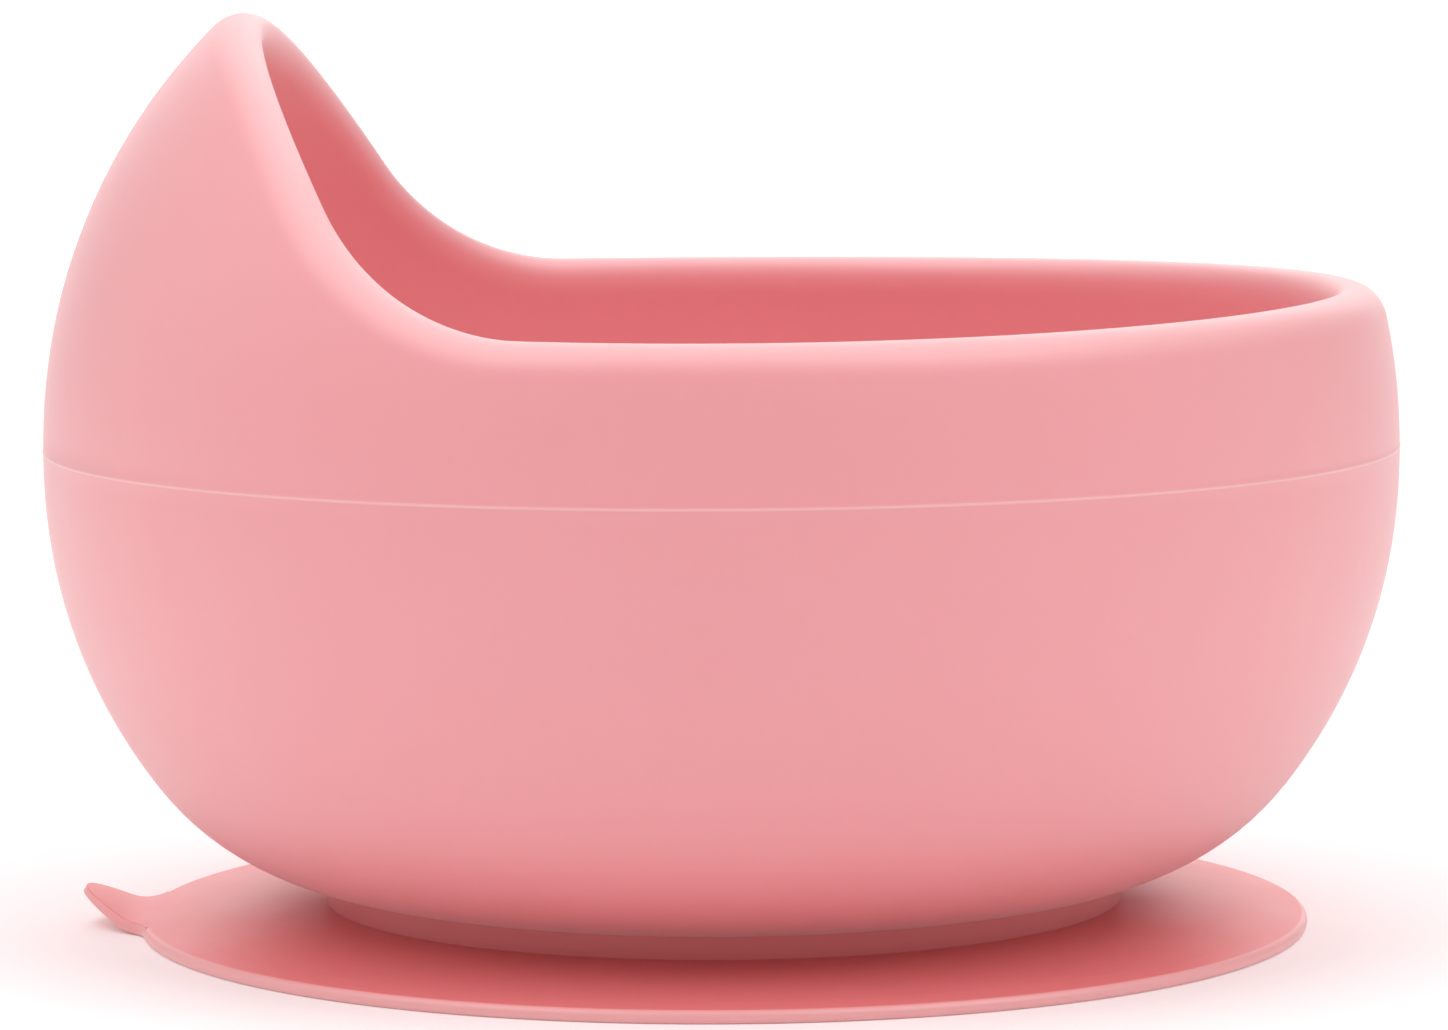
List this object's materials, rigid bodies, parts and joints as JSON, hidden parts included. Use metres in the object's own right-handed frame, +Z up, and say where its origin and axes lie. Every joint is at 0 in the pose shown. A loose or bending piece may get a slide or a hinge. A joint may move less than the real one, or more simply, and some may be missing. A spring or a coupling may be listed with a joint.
{
  "type": "suction bowl",
  "caption": "Round silicone feeding bowl with a raised scoop wall on one side, on a wide suction cup with a pull tab.",
  "frame": {"origin": "the bowl's axis where it meets the table", "axes": "+Z up along the bowl's axis; -X towards the scoop wall and the pull tab; +Y to the back when the scoop wall is on the left"},
  "size_m": [0.1252, 0.1252, 0.0856],
  "materials": {
    "silicone": "matte"
  },
  "bodies": {
    "cup": {"suction_skirt": "silicone", "sealing_lip": "silicone"},
    "bowl": {"bowl_shell": "silicone", "suction_hub": "silicone"},
    "tab": {"pull_tab": "silicone"}
  },
  "joints": [
    {"name": "cup_press", "type": "slide", "parent": "cup", "child": "bowl", "axis": [0, 0, 1], "range_m": [-0.0014, 0], "stiffness_N_per_m": 3500, "springref_m": 0.0006, "deforming": ["suction_skirt"]},
    {"name": "tab_lift", "type": "hinge", "parent": "cup", "child": "tab", "pos_m": [-0.05505, 0, 0.00065], "axis": [0, 1, 0], "range_deg": [-24, 70], "stiffness_Nm_per_rad": 0.0014}
  ]
}
